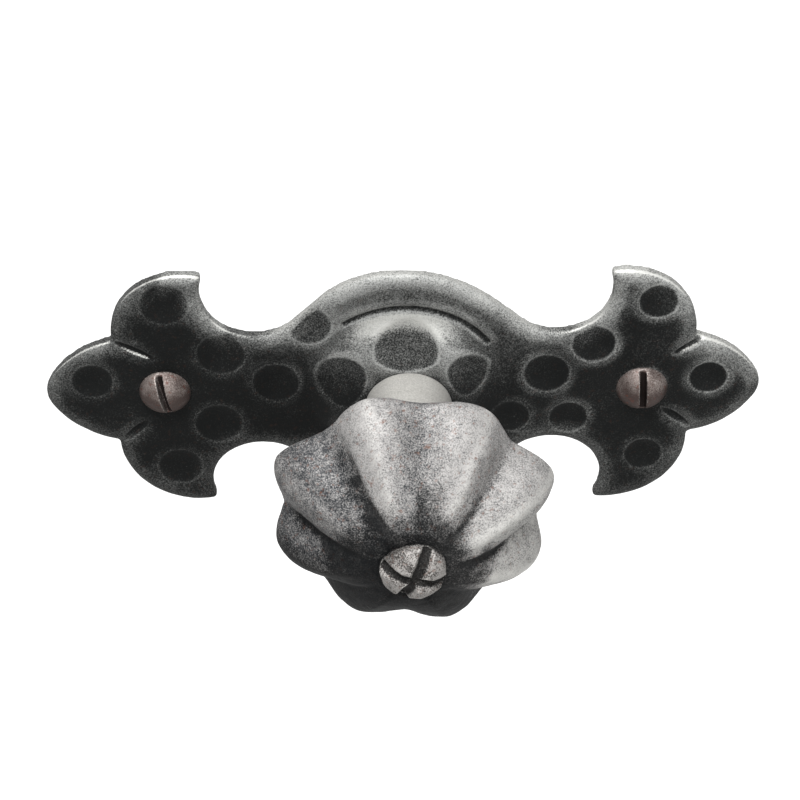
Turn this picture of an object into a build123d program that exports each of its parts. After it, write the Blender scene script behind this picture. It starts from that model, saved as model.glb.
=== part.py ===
from build123d import *
import math
import os

# A wrought cabinet knob on a hammered backplate, in millimetres.
# X runs along the backplate, Z is up, and the knob stands out towards -Y.
# The origin is the middle of the backplate's back face, which lies in the plane Y = 0.
# "Depth" below is the distance in front of that plane.

# Backplate outline: a tip petal at each end, a hooked side petal above and below it, a bay, and the arch
plate_length = 95.0
plate_thickness = 2.0
petal_height = 38.0
arch_height = 37.4
waist_height = 17.7
tip_petal_length = 9.2
tip_petal_width = 16.9
tip_round = 4.0
tip_round_angle = 28.0
side_petal_radius = 9.1
side_petal_inset = 9.2
bay_inset = 18.5
bay_radius = 6.9
hook_angle = 22.0
bay_end_angle = 227.0
hook_round = 0.7
notch_round = 0.3
arch_radius = 17.2
arch_shoulder_angle = 37.5
edge_round = 0.6

# How far each hand-forged tip strays upwards
tip_drift = {"left": -0.3, "right": 0.15}

# How each hand-forged corner strays from the even outline: how far outwards at its notch, its crown
# and its waist, how far inwards its bay lies, and by how many degrees its hook reaches further round
corner_drift = {
    ("left", "top"): (-0.1, -0.25, 0.1, 0.3, 1.0),
    ("right", "top"): (0.1, 0.0, 0.35, -0.3, 3.0),
    ("left", "bottom"): (0.2, -0.25, 0.5, 0.75, 3.0),
    ("right", "bottom"): (-0.5, -0.1, -0.2, -0.2, 14.0),
}

# Raised middle, pressed up from behind to make room for the rivet's tail
crown_height = 2.2
crown_top_radius = 7.0
crown_foot_radius = 13.0

# Ring groove round the raised middle, cut above and below it
ring_radius = 13.6
ring_width = 1.0
ring_depth = 0.6
ring_start_angle = 35.0
ring_sweep = 92.0

# Chisel strokes between a notch and its screw: how far the stroke's middle lies from the notch along X
# and along Z, both towards the plate's middle, then its slope and its length
stroke_width = 1.3
stroke_depth = 0.8
strokes = {
    ("left", "top"): (2.9, 1.3, 30.0, 8.2),
    ("right", "top"): (0.6, 1.3, 34.0, 7.0),
    ("left", "bottom"): (2.4, 2.1, 43.0, 6.5),
    ("right", "bottom"): (1.7, 3.0, 38.0, 6.5),
}

# Hammer dimples on the front, placed by hand as on the real plate.
# On the petals: side, distance in from that tip, Z, diameter. In the middle: X, Z, diameter.
dimple_depth = 0.75
petal_dimples = [
    ("left", 6.3, 2.0, 5.9), ("left", 16.5, 14.6, 6.9), ("left", 17.2, -13.0, 6.4),
    ("left", 23.5, 6.3, 6.9), ("left", 22.7, -5.5, 6.8), ("right", 7.1, 1.8, 5.5),
    ("right", 14.5, 14.4, 5.6), ("right", 14.9, -11.5, 5.5), ("right", 22.6, 7.6, 6.3),
    ("right", 25.4, -4.9, 5.6),
]
middle_dimples = [
    (-16.9, 1.5, 6.7), (-12.35, 10.9, 6.4), (-8.7, 3.0, 7.7), (0.3, 8.5, 7.7), (9.3, 4.2, 7.6),
    (18.9, 2.7, 6.6), (14.2, -4.6, 5.8), (-12.0, -11.0, 6.0), (12.2, -11.2, 6.0), (-8.2, -6.4, 6.0),
    (8.6, -8.0, 6.0), (0.6, -12.6, 6.6),
]

# Round-head wood screws
screw_inset = 15.85
screw_height = 0.3
screw_diameter = 3.5
screw_length = 16.0
screw_smooth_length = 5.0
screw_point_length = 4.0
screw_head_diameter = 7.0
screw_head_height = 2.4
slot_width = 0.9
slot_depth = 1.9
left_slot_angle = 102.0
right_slot_angle = 92.0
screw_hole_clearance = 0.5

# The screw's thread is drawn plain, at the mean of its crest and its root
thread_diameter = 3.0

# Common axis of the neck, the knob and the rivet, a little off the plate's middle
knob_x = 0.6
knob_z = -0.7

# Neck: a turned spacer between the plate and the knob
neck_diameter = 11.6
neck_length = 12.4
neck_chamfer = 0.3

# Fluted knob: its largest radius is over the ridges at the rim, and depths run from the knob's back
knob_radius = 18.4
rim_depth = 7.6
nose_depth = 18.6
back_radius = 6.6
nose_radius = 5.2
flute_count = 8
first_ridge_angle = 18.0
front_fullness = 1.6
back_fullness = 1.3
rim_valley_share = 0.895
front_valley_share = 0.80
end_valley_share = 0.97
rim_round = 0.8

# How sharp the ridges are: 1 is an even wave, less makes full lobes with narrow creases between them
rim_sharpness = 0.95
front_sharpness = 0.6

# How far each hand-forged ridge strays outwards at the rim, anticlockwise from the first
ridge_drift = (0.3, 0.1, 0.2, 0.6, -0.3, -0.6, -0.2, -0.1)

# The same for the valleys, each of which follows its ridge
valley_drift = (0.0, 0.45, 0.0, -0.15, 0.25, 0.35, 0.15, -0.3)

# Rivet with a domed, cross-cut head on the knob's nose and a peened tail behind the plate
rivet_diameter = 5.0
rivet_clearance = 0.3
rivet_head_diameter = 8.4
rivet_head_height = 3.4
rivet_head_wall = 1.3
rivet_tail_diameter = 8.0
rivet_tail_height = 1.5
rivet_tail_wall = 0.4
cross_angles = (162.0, 66.0)
cross_width = 2.2
cross_depth = 1.2
cross_reach = 60.0

crown_top = plate_thickness + crown_height
knob_back = crown_top + neck_length
knob_nose = knob_back + nose_depth
screw_x = plate_length / 2 - screw_inset
outwards = (0, -1, 0)
plate_plane = Plane(origin=(0, 0, 0), x_dir=(1, 0, 0), z_dir=(0, 0, -1))
plate_axis = Axis((0, 0, 0), outwards)
knob_plane = Plane(origin=(knob_x, 0, knob_z), x_dir=(1, 0, 0), z_dir=(0, 0, -1))
knob_axis = Axis((knob_x, 0, knob_z), outwards)
sign = {"left": -1, "right": 1, "top": 1, "bottom": -1}


def corner_points(side, level):
    """The outline's points in one quarter of the plate, from the tip to the arch."""
    notch_drift, crown_drift, waist_drift, bay_drift, hook_drift = corner_drift[side, level]
    half_length = plate_length / 2
    notch_x = half_length - tip_petal_length
    notch_z = tip_petal_width / 2 + notch_drift
    tip = math.radians(tip_round_angle)
    petal_x = notch_x - side_petal_inset
    petal_z = petal_height / 2 - side_petal_radius + crown_drift
    petal_reach = side_petal_radius * math.sqrt(0.5)
    bay_x = notch_x - bay_inset - bay_drift
    bay_z = waist_height / 2 + bay_radius + waist_drift
    hook = math.radians(hook_angle + hook_drift)
    bay_end = math.radians(bay_end_angle)
    shoulder = math.radians(arch_shoulder_angle)
    points = {
        "tip": (half_length, 0),
        "tip_end": (half_length - tip_round * (1 - math.cos(tip)), tip_round * math.sin(tip)),
        "notch": (notch_x, notch_z),
        "crown": (petal_x + petal_reach, petal_z + petal_reach),
        "hook": (bay_x + bay_radius * math.cos(hook), bay_z + bay_radius * math.sin(hook)),
        "waist": (bay_x, bay_z - bay_radius),
        "bay_end": (bay_x + bay_radius * math.cos(bay_end), bay_z + bay_radius * math.sin(bay_end)),
        "arch": (
            arch_radius * math.sin(shoulder),
            arch_height / 2 - arch_radius * (1 - math.cos(shoulder)),
        ),
        "peak": (0, arch_height / 2),
    }
    points = {name: (sign[side] * x, sign[level] * z) for name, (x, z) in points.items()}
    for name in ("tip", "tip_end"):
        x, z = points[name]
        points[name] = (x, z + tip_drift[side])
    return points


def corner_outline(side, level):
    """Draw one quarter of the plate's outline in the open line."""
    points = corner_points(side, level)
    tip = RadiusArc(points["tip"], points["tip_end"], -sign[side] * sign[level] * tip_round)
    TangentArc(points["tip_end"], points["notch"], tangent=tip % 1)
    ThreePointArc(points["notch"], points["crown"], points["hook"])
    bay = ThreePointArc(points["hook"], points["waist"], points["bay_end"])
    Spline(
        points["bay_end"],
        points["arch"],
        points["peak"],
        tangents=(bay % 1, (-sign[side], 0)),
    )


def raised(radius):
    """How far the pressed middle lifts the front face at this distance from the plate's middle."""
    share = (crown_foot_radius - radius) / (crown_foot_radius - crown_top_radius)
    share = min(max(share, 0), 1)
    return crown_height * share * share * (3 - 2 * share)


def crown_section(base, surface):
    """Half section of the pressed middle: flat on top, with an even S-curve down to its foot."""
    step = (crown_foot_radius - crown_top_radius) / 3
    crown = surface + crown_height
    with BuildSketch(plate_plane) as section:
        with BuildLine():
            Polyline((crown_foot_radius, surface), (crown_foot_radius, base), (0, base))
            Polyline((0, base), (0, crown), (crown_top_radius, crown))
            Bezier(
                (crown_top_radius, crown),
                (crown_top_radius + step, crown),
                (crown_foot_radius - step, surface),
                (crown_foot_radius, surface),
            )
        make_face()
    return section.sketch


def ring_groove(start_angle):
    """One stretch of the V-shaped ring groove, anticlockwise from the start angle."""
    turn = math.radians(start_angle)
    start_plane = Plane(
        origin=(0, 0, 0),
        x_dir=(math.cos(turn), 0, math.sin(turn)),
        z_dir=(math.sin(turn), 0, -math.cos(turn)),
    )
    with BuildPart() as groove:
        with BuildSketch(start_plane):
            with BuildLine():
                Polyline(
                    (ring_radius, plate_thickness - ring_depth),
                    (ring_radius + ring_width, plate_thickness + ring_depth),
                    (ring_radius - ring_width, plate_thickness + ring_depth),
                    close=True,
                )
            make_face()
        revolve(axis=plate_axis, revolution_arc=ring_sweep)
    return groove.part


def chisel_stroke(side, level):
    """One boat-shaped chisel stroke that runs from near the notch in towards the screw."""
    inset, drop, slope, length = strokes[side, level]
    notch_x, notch_z = corner_points(side, level)["notch"]
    angle = math.radians(slope)
    along = Vector(sign[side] * math.cos(angle), 0, sign[level] * math.sin(angle))
    across = along.cross(Vector(0, 1, 0))
    wheel_radius = (length / 2) ** 2 / (2 * stroke_depth) + stroke_depth / 2
    hub_depth = plate_thickness + wheel_radius - stroke_depth
    hub = Vector(notch_x - sign[side] * inset, -hub_depth, notch_z - sign[level] * drop)
    with BuildPart() as stroke:
        with BuildSketch(Plane(origin=hub, x_dir=(0, 1, 0), z_dir=along)):
            with BuildLine():
                Polyline(
                    (wheel_radius, 0),
                    (wheel_radius - 2 * stroke_depth, stroke_width),
                    (wheel_radius - 2 * stroke_depth, -stroke_width),
                    close=True,
                )
            make_face()
        revolve(axis=Axis(hub, across))
    return stroke.part


def dimple(x, z, diameter):
    """Cut one round hammer dimple, tilted with the front face that it covers."""
    ball_radius = (diameter / 2) ** 2 / (2 * dimple_depth) + dimple_depth / 2
    radius = math.hypot(x, z)
    inner = raised(radius - diameter / 2)
    outer = raised(radius + diameter / 2)
    fall = (inner - outer) / diameter
    lift = (ball_radius - dimple_depth) / math.hypot(fall, 1)
    depth = plate_thickness + (inner + outer) / 2 + lift
    spread = 1 + fall * lift / radius
    with Locations((x * spread, -depth, z * spread)):
        Sphere(ball_radius, mode=Mode.SUBTRACT)


crown = crown_section(plate_thickness / 2, plate_thickness)
crown_hollow = crown_section(-plate_thickness, 0)
grooves = [ring_groove(ring_start_angle), ring_groove(ring_start_angle + 180)]
chisel_strokes = [chisel_stroke(side, level) for side, level in strokes]

with BuildPart() as backplate:
    with BuildSketch(Plane.XZ) as outline:
        with BuildLine():
            for side, level in corner_drift:
                corner_outline(side, level)
        make_face()
        for side, level in corner_drift:
            points = corner_points(side, level)
            hook = outline.vertices().sort_by_distance(Vector(*points["hook"]))[0]
            fillet(hook, radius=hook_round)
            notch = outline.vertices().sort_by_distance(Vector(*points["notch"]))[0]
            fillet(notch, radius=notch_round)
    extrude(amount=plate_thickness)
    fillet(backplate.faces().sort_by(Axis.Y)[0].edges(), radius=edge_round)
    revolve(crown, axis=plate_axis)
    revolve(crown_hollow, axis=plate_axis, mode=Mode.SUBTRACT)
    add(grooves, mode=Mode.SUBTRACT)
    add(chisel_strokes, mode=Mode.SUBTRACT)
    for side, inset, z, diameter in petal_dimples:
        dimple(sign[side] * (plate_length / 2 - inset), z, diameter)
    for x, z, diameter in middle_dimples:
        dimple(x, z, diameter)
    with BuildSketch(Plane.XZ.offset(-plate_thickness)):
        with Locations((knob_x, knob_z)):
            Circle((rivet_diameter + rivet_clearance) / 2)
        with Locations((-screw_x, screw_height), (screw_x, screw_height)):
            Circle((screw_diameter + screw_hole_clearance) / 2)
    extrude(amount=3 * plate_thickness + crown_height, mode=Mode.SUBTRACT)


with BuildPart() as neck:
    with BuildSketch(Plane.XZ.offset(crown_top)):
        with Locations((knob_x, knob_z)):
            Circle(neck_diameter / 2)
            Circle((rivet_diameter + rivet_clearance) / 2, mode=Mode.SUBTRACT)
    extrude(amount=neck_length)
    outer_rims = neck.edges().filter_by(GeomType.CIRCLE).group_by(SortBy.RADIUS)[-1]
    chamfer(outer_rims, length=neck_chamfer)


def fluted_points(radius, valley_share, sharpness):
    """Points round one section of the knob: ridges and valleys with a point on each flank between."""
    points = []
    point_count = 4 * flute_count
    for index in range(point_count):
        angle = 2 * math.pi * index / point_count
        wave = (1 + math.cos(flute_count * angle)) / 2
        share = valley_share + (1 - valley_share) * wave ** sharpness
        ridge, step = divmod(index, 4)
        drift = ridge_drift[ridge % len(ridge_drift)] * (1 - step / 4)
        drift += ridge_drift[(ridge + 1) % len(ridge_drift)] * step / 4
        drift += valley_drift[ridge % len(valley_drift)] * (1 - abs(step - 2) / 2)
        reach = radius * (share + drift / knob_radius)
        turn = angle + math.radians(first_ridge_angle)
        points.append((reach * math.cos(turn), reach * math.sin(turn)))
    return points


def rise(share, fullness):
    """Height of the knob's rounded profile at this share of its radius: 0 at the rim, 1 at the axis."""
    return (1 - share ** fullness) ** (1 / fullness)


def back_sections():
    """Depth from the knob's back, radius over the ridges, valley share and sharpness, up to the rim."""
    back_share = back_radius / knob_radius
    sections = []
    for share in (back_share, 0.7, 0.92, 1.0):
        depth = rim_depth * (1 - rise(share, back_fullness) / rise(back_share, back_fullness))
        blend = (share - back_share) / (1 - back_share)
        valley_share = end_valley_share + (rim_valley_share - end_valley_share) * blend
        sections.append((depth, knob_radius * share, valley_share, rim_sharpness))
    return sections


def front_sections():
    """The same from the rim to the nose: the flutes are deepest half way and fade out at the nose."""
    nose_share = nose_radius / knob_radius
    sections = []
    for share in (1.0, 0.93, 0.78, 0.56, nose_share):
        height = rise(share, front_fullness) / rise(nose_share, front_fullness)
        depth = rim_depth + (nose_depth - rim_depth) * height
        plain = rim_valley_share + (end_valley_share - rim_valley_share) * height
        half_way = math.sin(math.pi * height)
        valley_share = plain + (front_valley_share - rim_valley_share) * half_way
        sharpness = rim_sharpness + (front_sharpness - rim_sharpness) * half_way
        sections.append((depth, knob_radius * share, valley_share, sharpness))
    return sections


with BuildPart() as knob:
    for sections in (back_sections(), front_sections()):
        for depth, radius, valley_share, sharpness in sections:
            section_origin = (knob_x, -(knob_back + depth), knob_z)
            with BuildSketch(Plane(origin=section_origin, x_dir=(1, 0, 0), z_dir=outwards)):
                with BuildLine():
                    Spline(*fluted_points(radius, valley_share, sharpness), periodic=True)
                make_face()
        loft()
    rim = knob.edges().sort_by(SortBy.LENGTH)[-1]
    fillet(rim, radius=rim_round)
    with BuildSketch(Plane.XZ.offset(knob_back - 1)):
        with Locations((knob_x, knob_z)):
            Circle((rivet_diameter + rivet_clearance) / 2)
    extrude(amount=nose_depth + 2, mode=Mode.SUBTRACT)


def dome_radius(radius, height):
    """Radius of the ball whose cap has this radius and height."""
    return (radius ** 2 + height ** 2) / (2 * height)


head_radius = rivet_head_diameter / 2
head_rise = rivet_head_height - rivet_head_wall
head_top = knob_nose + rivet_head_height
head_ball_radius = dome_radius(head_radius, head_rise)


def cross_cut(angle):
    """One chisel cut of the cross: a V that follows the head's dome from side to side."""
    turn = math.radians(angle)
    reach = math.radians(cross_reach)
    along = Vector(math.cos(turn), 0, math.sin(turn))
    out = Vector(*outwards)
    across = out.cross(along)
    ball_centre = Vector(knob_x, head_ball_radius - head_top, knob_z)
    start = out * math.cos(reach) - along * math.sin(reach)
    with BuildPart() as cut:
        with BuildSketch(Plane(origin=ball_centre, x_dir=start, z_dir=across.cross(start))):
            with BuildLine():
                Polyline(
                    (head_ball_radius - cross_depth, 0),
                    (head_ball_radius + cross_depth, cross_width),
                    (head_ball_radius + cross_depth, -cross_width),
                    close=True,
                )
            make_face()
        revolve(axis=Axis(ball_centre, across), revolution_arc=2 * cross_reach)
    return cut.part


cross_cuts = [cross_cut(angle) for angle in cross_angles]

with BuildPart() as rivet:
    tail_radius = rivet_tail_diameter / 2
    tail_rise = rivet_tail_height - rivet_tail_wall
    tail_end = crown_height - rivet_tail_height
    head_rim = (head_radius, head_top - head_rise)
    tail_rim = (tail_radius, tail_end + tail_rise)
    with BuildSketch(knob_plane):
        with BuildLine():
            Line((0, tail_end), (0, head_top))
            RadiusArc((0, head_top), head_rim, head_ball_radius)
            Polyline(
                head_rim,
                (head_radius, knob_nose),
                (rivet_diameter / 2, knob_nose),
                (rivet_diameter / 2, crown_height),
                (tail_radius, crown_height),
                tail_rim,
            )
            RadiusArc(tail_rim, (0, tail_end), dome_radius(tail_radius, tail_rise))
        make_face()
    revolve(axis=knob_axis)
    add(cross_cuts, mode=Mode.SUBTRACT)


def wood_screw(x, slot_angle):
    """A slotted round-head wood screw through the plate at this place along it."""
    screw_plane = Plane(origin=(x, -plate_thickness, screw_height), x_dir=(1, 0, 0), z_dir=(0, 0, -1))
    screw_head_radius = screw_head_diameter / 2
    screw_ball_radius = dome_radius(screw_head_radius, screw_head_height)
    slot_floor = plate_thickness + screw_head_height - slot_depth
    with BuildPart() as screw:
        with BuildSketch(screw_plane):
            with BuildLine():
                Line((0, -screw_length), (0, screw_head_height))
                RadiusArc((0, screw_head_height), (screw_head_radius, 0), screw_ball_radius)
                Polyline(
                    (screw_head_radius, 0),
                    (screw_diameter / 2, 0),
                    (screw_diameter / 2, -screw_smooth_length),
                    (thread_diameter / 2, -screw_smooth_length),
                    (thread_diameter / 2, screw_point_length - screw_length),
                    (0, -screw_length),
                )
            make_face()
        revolve(axis=Axis(screw_plane.origin, outwards))
        with BuildSketch(Plane.XZ.offset(slot_floor)):
            with Locations((x, screw_height)):
                Rectangle(2 * screw_head_diameter, slot_width, rotation=slot_angle)
        extrude(amount=2 * slot_depth, mode=Mode.SUBTRACT)
    return screw


screw_left = wood_screw(-screw_x, left_slot_angle)
screw_right = wood_screw(screw_x, right_slot_angle)


os.makedirs("parts", exist_ok=True)

backplate.part.label = "backplate"
export_step(backplate.part, "parts/backplate.step")

neck.part.label = "neck"
export_step(neck.part, "parts/neck.step")

knob.part.label = "knob"
export_step(knob.part, "parts/knob.step")

rivet.part.label = "rivet"
export_step(rivet.part, "parts/rivet.step")

screw_left.part.label = "screw_left"
export_step(screw_left.part, "parts/screw_left.step")

screw_right.part.label = "screw_right"
export_step(screw_right.part, "parts/screw_right.step")
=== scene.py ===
import bmesh
import bpy
import logging
import math
from dataclasses import dataclass
from enum import Enum

import numpy as np
from mathutils import Matrix, Vector, kdtree, noise


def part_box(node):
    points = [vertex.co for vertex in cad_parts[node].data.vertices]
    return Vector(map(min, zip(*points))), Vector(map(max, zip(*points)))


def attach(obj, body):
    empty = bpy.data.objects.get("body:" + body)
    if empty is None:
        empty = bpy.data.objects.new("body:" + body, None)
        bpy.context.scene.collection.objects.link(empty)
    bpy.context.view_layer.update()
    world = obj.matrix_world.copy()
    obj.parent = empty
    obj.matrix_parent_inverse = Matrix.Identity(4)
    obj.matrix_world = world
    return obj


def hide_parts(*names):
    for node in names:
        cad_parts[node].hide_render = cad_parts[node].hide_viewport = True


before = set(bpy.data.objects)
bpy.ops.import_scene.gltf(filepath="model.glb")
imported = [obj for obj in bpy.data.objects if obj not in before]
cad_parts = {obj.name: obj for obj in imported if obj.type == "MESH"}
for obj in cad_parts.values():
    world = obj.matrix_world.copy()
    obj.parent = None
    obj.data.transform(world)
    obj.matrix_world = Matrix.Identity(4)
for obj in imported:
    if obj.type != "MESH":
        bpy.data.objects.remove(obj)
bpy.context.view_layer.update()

MM = 0.001
# Numbers of a colour mix's sockets: the second colour's share, both colours, and the result
SHARE, FIRST, SECOND, MIXED = 0, 6, 7, 2
log = logging.getLogger("cabinet_knob")


class Side(Enum):
    """Which end of the backplate a screw holds."""

    LEFT = "left"
    RIGHT = "right"


def linear(colour: str) -> tuple[float, float, float, float]:
    """Turns a colour as it is seen into the linear values that Blender mixes.

    Args:
        colour: sRGB hex value, such as "#808080".

    Returns:
        Linear red, green and blue, and an alpha of 1.
    """
    channels = [int(colour[i:i + 2], 16) / 255 for i in (1, 3, 5)]
    lit = [c / 12.92 if c <= 0.04045 else ((c + 0.055) / 1.055) ** 2.4 for c in channels]
    return (lit[0], lit[1], lit[2], 1.0)


def per_metre(size_mm: float) -> float:
    """Texture scale that gives a pattern features of this size in millimetres."""
    return 1 / (size_mm * MM)


def add_node(tree: bpy.types.NodeTree, kind: str, settings: dict | None = None,
             inputs: dict | None = None) -> bpy.types.Node:
    """Adds a node with its settings, its values and its links.

    Args:
        tree: Node tree that gets the node.
        kind: Blender's name for the kind of node.
        settings: Properties of the node itself.
        inputs: Socket name or number to a value, or to the output socket it is linked from.

    Returns:
        The new node.
    """
    node = tree.nodes.new(kind)
    for name, value in (settings or {}).items():
        setattr(node, name, value)
    for name, value in (inputs or {}).items():
        if isinstance(value, bpy.types.NodeSocket):
            tree.links.new(value, node.inputs[name])
        else:
            node.inputs[name].default_value = value
    return node


def new_material(name: str) -> tuple[bpy.types.Material, bpy.types.NodeTree]:
    """Makes an empty node material.

    Args:
        name: Name of the metal and its finish.

    Returns:
        The material and its node tree.
    """
    material = bpy.data.materials.new(name)
    material.use_nodes = True
    material.node_tree.nodes.clear()
    return material, material.node_tree


def straight_rays(tree: bpy.types.NodeTree) -> bpy.types.NodeSocket:
    """Tells what is looked at, straight or in a mirror or glass, from what only gives light.

    Args:
        tree: Node tree of a backdrop.

    Returns:
        Socket that is 1 for rays from the camera, mirrors and glass, and 0 for all others.
    """
    path = add_node(tree, "ShaderNodeLightPath")
    seen = add_node(tree, "ShaderNodeMath", {"operation": "MAXIMUM"}, {
        0: path.outputs["Is Camera Ray"], 1: path.outputs["Is Glossy Ray"],
    }).outputs[0]
    return add_node(tree, "ShaderNodeMath", {"operation": "MAXIMUM"}, {
        0: seen, 1: path.outputs["Is Transmission Ray"],
    }).outputs[0]


@dataclass(frozen=True)
class ForgedSteel:
    """Steel worked hot, blackened in oil and rubbed back, so its high places show grey metal.

    The eye sees near-black scale in all hollows, a mottled middle tone on open faces, pale rubbed
    metal along edges and rings, and fine dark pits all over. The black also serves as painted shade,
    and the rubbed metal as painted highlights, where a piece's masks put them.
    """

    name: str
    scale_and_shade_colour: str
    face_colour: str
    pale_colour: str
    rubbed_and_highlight_colour: str
    rust_colour: str = "#6a4636"
    # Widths of the cloudy patches, the grains, the specks of rust and the marks of emery cloth
    mottle_mm: float = 4.0
    salt_mm: float = 0.18
    rust_mm: float = 0.6
    emery_mm: float = 2.2
    # How far patches and grains depart from their surroundings, and how strong the rust is
    mottle_share: float = 0.5
    salt_share: float = 1.2
    rust_share: float = 0.3
    # How much of that departure shows on black faces, and how much more or less on pale ones
    quiet_grain: float = 0.15
    pale_grain: float = 1.2
    # How much of it breaks up the borders of rubbed edges and painted highlights, and of black hollows
    # and painted shade
    wear_and_highlight_grain: float = 0.4
    hollow_and_shade_grain: float = 0.5
    # Oxide and oil dull the steel: it is less metallic, and shines less, than when it is bare
    metallic: float = 0.35
    sheen: float = 0.03
    face_roughness: float = 0.6
    rubbed_roughness: float = 0.45
    grain_height_mm: float = 0.05

    def unrest(self, tree: bpy.types.NodeTree, place: bpy.types.NodeSocket,
               salt: bpy.types.NodeSocket) -> bpy.types.NodeSocket:
        """Adds up how much each spot differs from its surroundings.

        Args:
            tree: The material's node tree.
            place: Where on the piece the spot is.
            salt: The fine grain.

        Returns:
            Socket that swings to both sides of 0, in clouds and in single grains.
        """
        # Cloudy patches of many sizes up to a few millimetres, where the cloth bit more or less
        mottle = add_node(tree, "ShaderNodeTexNoise", {}, {
            "Vector": place, "Scale": per_metre(self.mottle_mm), "Detail": 6.0, "Roughness": 0.75,
        }).outputs["Fac"]
        clouds = add_node(tree, "ShaderNodeMath", {"operation": "MULTIPLY_ADD"}, {
            0: mottle, 1: 2 * self.mottle_share, 2: -self.mottle_share,
        }).outputs[0]
        grains = add_node(tree, "ShaderNodeMath", {"operation": "MULTIPLY_ADD"}, {
            0: salt, 1: 2 * self.salt_share, 2: -self.salt_share,
        }).outputs[0]
        return add_node(tree, "ShaderNodeMath", {"operation": "ADD"}, {
            0: clouds, 1: grains,
        }).outputs[0]

    def masks(self, tree: bpy.types.NodeTree, unrest: bpy.types.NodeSocket,
              ) -> tuple[bpy.types.NodeSocket, bpy.types.NodeSocket, bpy.types.NodeSocket]:
        """Breaks up the borders of the masks that the piece's points carry.

        Args:
            tree: The material's node tree.
            unrest: How much each spot differs from its surroundings.

        Returns:
            How grey, how bare and how black each spot is, each from 0 to 1; the bare share also holds
            painted highlights, and the black share painted shade.
        """
        wear_and_highlight, hollow_and_shade, pale = (
            add_node(tree, "ShaderNodeAttribute", {"attribute_name": mask}).outputs["Fac"]
            for mask in ("wear_and_highlight", "hollow_and_shade", "pale"))
        bitten = add_node(tree, "ShaderNodeMath", {"operation": "MULTIPLY_ADD"}, {
            0: pale, 1: self.pale_grain, 2: self.quiet_grain,
        }).outputs[0]
        pale_sum = add_node(tree, "ShaderNodeMath", {"operation": "MULTIPLY_ADD"}, {
            0: unrest, 1: bitten, 2: pale,
        }).outputs[0]
        pale_mask = add_node(tree, "ShaderNodeMapRange", {"interpolation_type": "SMOOTHSTEP"}, {
            "Value": pale_sum, "From Min": 0.0, "From Max": 1.0,
        }).outputs["Result"]
        wear_and_highlight_sum = add_node(tree, "ShaderNodeMath", {"operation": "MULTIPLY_ADD"}, {
            0: unrest, 1: self.wear_and_highlight_grain, 2: wear_and_highlight,
        }).outputs[0]
        wear_and_highlight_mask = add_node(tree, "ShaderNodeMapRange", {"interpolation_type": "SMOOTHSTEP"}, {
            "Value": wear_and_highlight_sum, "From Min": 0.15, "From Max": 0.95,
        }).outputs["Result"]
        hollow_and_shade_sum = add_node(tree, "ShaderNodeMath", {"operation": "MULTIPLY_ADD"}, {
            0: unrest, 1: -self.hollow_and_shade_grain, 2: hollow_and_shade,
        }).outputs[0]
        hollow_and_shade_mask = add_node(tree, "ShaderNodeMapRange", {"interpolation_type": "SMOOTHSTEP"}, {
            "Value": hollow_and_shade_sum, "From Min": 0.1, "From Max": 0.9, "To Max": 0.92,
        }).outputs["Result"]
        return pale_mask, wear_and_highlight_mask, hollow_and_shade_mask

    def colour(self, tree: bpy.types.NodeTree, place: bpy.types.NodeSocket,
               pale_mask: bpy.types.NodeSocket, wear_and_highlight_mask: bpy.types.NodeSocket,
               hollow_and_shade_mask: bpy.types.NodeSocket) -> bpy.types.NodeSocket:
        """Lays the colours: face, grey, rust, scale and painted shade, then bare metal and painted
        highlights.

        Args:
            tree: The material's node tree.
            place: Where on the piece the spot is.
            pale_mask: How grey it is.
            wear_and_highlight_mask: How bare it is, and where a highlight is painted.
            hollow_and_shade_mask: How black it is, and where shade is painted.

        Returns:
            Socket with the colour.
        """
        rust = add_node(tree, "ShaderNodeTexNoise", {}, {
            "Vector": place, "Scale": per_metre(self.rust_mm), "Detail": 2.0, "Roughness": 0.5,
        }).outputs["Fac"]
        # Only the noise's highest peaks rust, so that the specks stand alone
        rust_mask = add_node(tree, "ShaderNodeMapRange", {}, {
            "Value": rust, "From Min": 0.6, "From Max": 0.75, "To Max": self.rust_share,
        }).outputs["Result"]
        face = add_node(tree, "ShaderNodeMix", {"data_type": "RGBA"}, {
            SHARE: pale_mask, FIRST: linear(self.face_colour), SECOND: linear(self.pale_colour),
        }).outputs[MIXED]
        tinted = add_node(tree, "ShaderNodeMix", {"data_type": "RGBA"}, {
            SHARE: rust_mask, FIRST: face, SECOND: linear(self.rust_colour),
        }).outputs[MIXED]
        blackened = add_node(tree, "ShaderNodeMix", {"data_type": "RGBA"}, {
            SHARE: hollow_and_shade_mask, FIRST: tinted, SECOND: linear(self.scale_and_shade_colour),
        }).outputs[MIXED]
        return add_node(tree, "ShaderNodeMix", {"data_type": "RGBA"}, {
            SHARE: wear_and_highlight_mask, FIRST: blackened, SECOND: linear(self.rubbed_and_highlight_colour),
        }).outputs[MIXED]

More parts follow.
